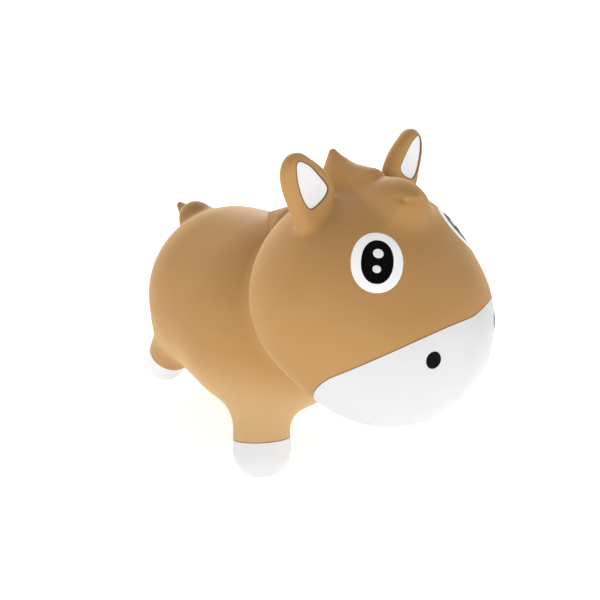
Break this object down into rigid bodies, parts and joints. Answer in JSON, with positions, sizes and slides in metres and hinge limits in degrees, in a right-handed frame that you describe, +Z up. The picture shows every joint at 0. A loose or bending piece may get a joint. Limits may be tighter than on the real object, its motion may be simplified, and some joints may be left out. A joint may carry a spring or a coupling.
{
  "type": "bouncy ride on animal",
  "caption": "Inflated vinyl hopping horse with an egg-shaped head, short sprung legs, soft ears to hold and a belly air valve.",
  "frame": {"origin": "On the floor, under the middle of the box round the whole horse", "axes": "+Z up, -Y the way the horse faces, +X its left side"},
  "size_m": [0.2944, 0.5628, 0.4692],
  "materials": {
    "tan_vinyl": "satin tan soft vinyl",
    "white_vinyl": "satin white paint on vinyl",
    "black_paint": "satin black paint",
    "glint_paint": "pale paint",
    "valve_vinyl": "clear-white moulded vinyl"
  },
  "bodies": {
    "hide": {"hide_body": "tan_vinyl", "hide_head": "tan_vinyl", "muzzle": "white_vinyl", "mane_crown": "tan_vinyl", "forelock": "tan_vinyl", "mane_nape": "tan_vinyl", "tail": "tan_vinyl", "valve_seat": "valve_vinyl", "leg_front_left": "tan_vinyl", "leg_hind_left": "tan_vinyl", "ear_root_left": "tan_vinyl", "eye_white_left": "white_vinyl", "eye_pupil_left": "black_paint", "eye_glint_upper_left": "glint_paint", "eye_glint_lower_left": "glint_paint", "nostril_left": "black_paint", "leg_front_right": "tan_vinyl", "leg_hind_right": "tan_vinyl", "ear_root_right": "tan_vinyl", "eye_white_right": "white_vinyl", "eye_pupil_right": "black_paint", "eye_glint_upper_right": "glint_paint", "eye_glint_lower_right": "glint_paint", "nostril_right": "black_paint"},
    "valve_plug": {"valve_plug": "valve_vinyl"},
    "ear_left": {"ear_left": "tan_vinyl", "ear_lining_left": "white_vinyl"},
    "hoof_front_left": {"hoof_front_left": "white_vinyl"},
    "hoof_hind_left": {"hoof_hind_left": "white_vinyl"},
    "ear_right": {"ear_right": "tan_vinyl", "ear_lining_right": "white_vinyl"},
    "hoof_front_right": {"hoof_front_right": "white_vinyl"},
    "hoof_hind_right": {"hoof_hind_right": "white_vinyl"}
  },
  "joints": [
    {"name": "front_left_leg_squash", "type": "slide", "parent": "hide", "child": "hoof_front_left", "axis": [0, 0, 1], "range_m": [0, 0.02], "stiffness_N_per_m": 2500, "springref_m": -0.004, "deforming": ["leg_front_left"]},
    {"name": "front_right_leg_squash", "type": "slide", "parent": "hide", "child": "hoof_front_right", "axis": [0, 0, 1], "range_m": [0, 0.02], "stiffness_N_per_m": 2500, "springref_m": -0.004, "deforming": ["leg_front_right"]},
    {"name": "hind_left_leg_squash", "type": "slide", "parent": "hide", "child": "hoof_hind_left", "axis": [0, 0, 1], "range_m": [0, 0.02], "stiffness_N_per_m": 2500, "springref_m": -0.004, "deforming": ["leg_hind_left"]},
    {"name": "hind_right_leg_squash", "type": "slide", "parent": "hide", "child": "hoof_hind_right", "axis": [0, 0, 1], "range_m": [0, 0.02], "stiffness_N_per_m": 2500, "springref_m": -0.004, "deforming": ["leg_hind_right"]},
    {"name": "ear_left_flex", "type": "hinge", "parent": "hide", "child": "ear_left", "pos_m": [0.07855, -0.09361, 0.39935], "axis": [1, 0, 0], "range_deg": [-15, 15], "stiffness_Nm_per_rad": 1.5, "deforming": ["ear_root_left"]},
    {"name": "ear_right_flex", "type": "hinge", "parent": "hide", "child": "ear_right", "pos_m": [-0.07855, -0.09361, 0.39935], "axis": [1, 0, 0], "range_deg": [-15, 15], "stiffness_Nm_per_rad": 1.5, "deforming": ["ear_root_right"]},
    {"name": "valve_plug_pull", "type": "slide", "parent": "hide", "child": "valve_plug", "axis": [0, 0, -1], "range_m": [0, 0.0185]}
  ]
}
